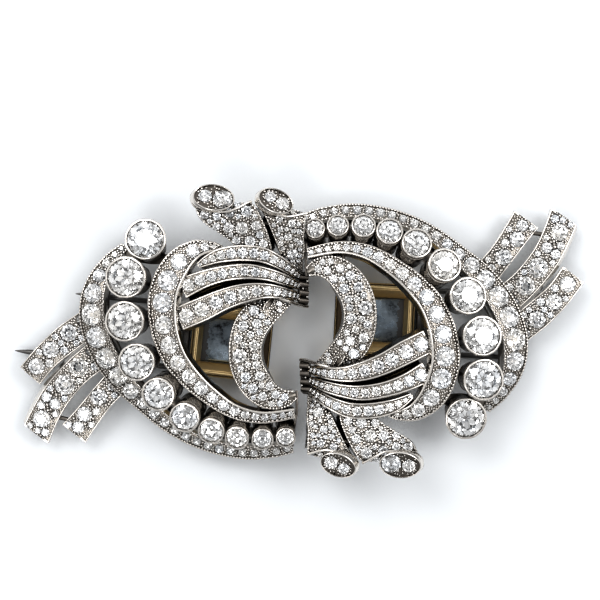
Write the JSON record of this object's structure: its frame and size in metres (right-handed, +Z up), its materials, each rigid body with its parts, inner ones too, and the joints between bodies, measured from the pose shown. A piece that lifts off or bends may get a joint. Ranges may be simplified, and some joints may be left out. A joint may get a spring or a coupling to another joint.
{
  "type": "pair of dress clips",
  "caption": "Pair of domed openwork dress clips in pavé and collet-set diamonds, each with a hinged two-prong lever on its back, lying face up side by side.",
  "frame": {"origin": "centre of the pair's box, on the surface that it rests on", "axes": "+Z up out of the fronts, +X from the first clip to the second, +Y towards the first clip's scrolls"},
  "size_m": [0.073, 0.0356, 0.0105],
  "materials": {
    "platinum": "polished",
    "diamond": "polished",
    "gold": "worn",
    "steel": "satin",
    "dark_steel": "tarnished"
  },
  "bodies": {
    "fronts": {"left_setting": "platinum", "left_stone_01": "diamond", "left_stone_02": "diamond", "left_stone_03": "diamond", "left_stone_04": "diamond", "left_stone_05": "diamond", "left_stone_06": "diamond", "left_stone_07": "diamond", "left_stone_08": "diamond", "left_stone_09": "diamond", "left_stone_10": "diamond", "left_outer_band_stones": "diamond", "left_inner_band_stones": "diamond", "left_ribbon_stones": "diamond", "left_crescent_stones": "diamond", "left_scroll_stones": "diamond", "left_tail_stones": "diamond", "left_clip_frame": "gold", "left_hinge_pin": "steel", "right_setting": "platinum", "right_stone_01": "diamond", "right_stone_02": "diamond", "right_stone_03": "diamond", "right_stone_04": "diamond", "right_stone_05": "diamond", "right_stone_06": "diamond", "right_stone_07": "diamond", "right_stone_08": "diamond", "right_stone_09": "diamond", "right_stone_10": "diamond", "right_outer_band_stones": "diamond", "right_inner_band_stones": "diamond", "right_ribbon_stones": "diamond", "right_crescent_stones": "diamond", "right_scroll_stones": "diamond", "right_tail_stones": "diamond", "right_clip_frame": "gold", "right_hinge_pin": "steel"},
    "left_lever_arm": {"left_lever": "dark_steel"},
    "right_lever_arm": {"right_lever": "dark_steel"}
  },
  "joints": [
    {"name": "left_lever_hinge", "type": "hinge", "parent": "fronts", "child": "left_lever_arm", "pos_m": [-0.00432, -0.00194, 0.00082], "axis": [-0.1045, -0.9945, 0], "range_deg": [0, 75], "stiffness_Nm_per_rad": 0.01, "springref_deg": -57.3},
    {"name": "right_lever_hinge", "type": "hinge", "parent": "fronts", "child": "right_lever_arm", "pos_m": [0.00541, 0.00159, 0.00082], "axis": [0.0489, 0.9988, 0], "range_deg": [0, 75], "stiffness_Nm_per_rad": 0.01, "springref_deg": -57.3}
  ]
}
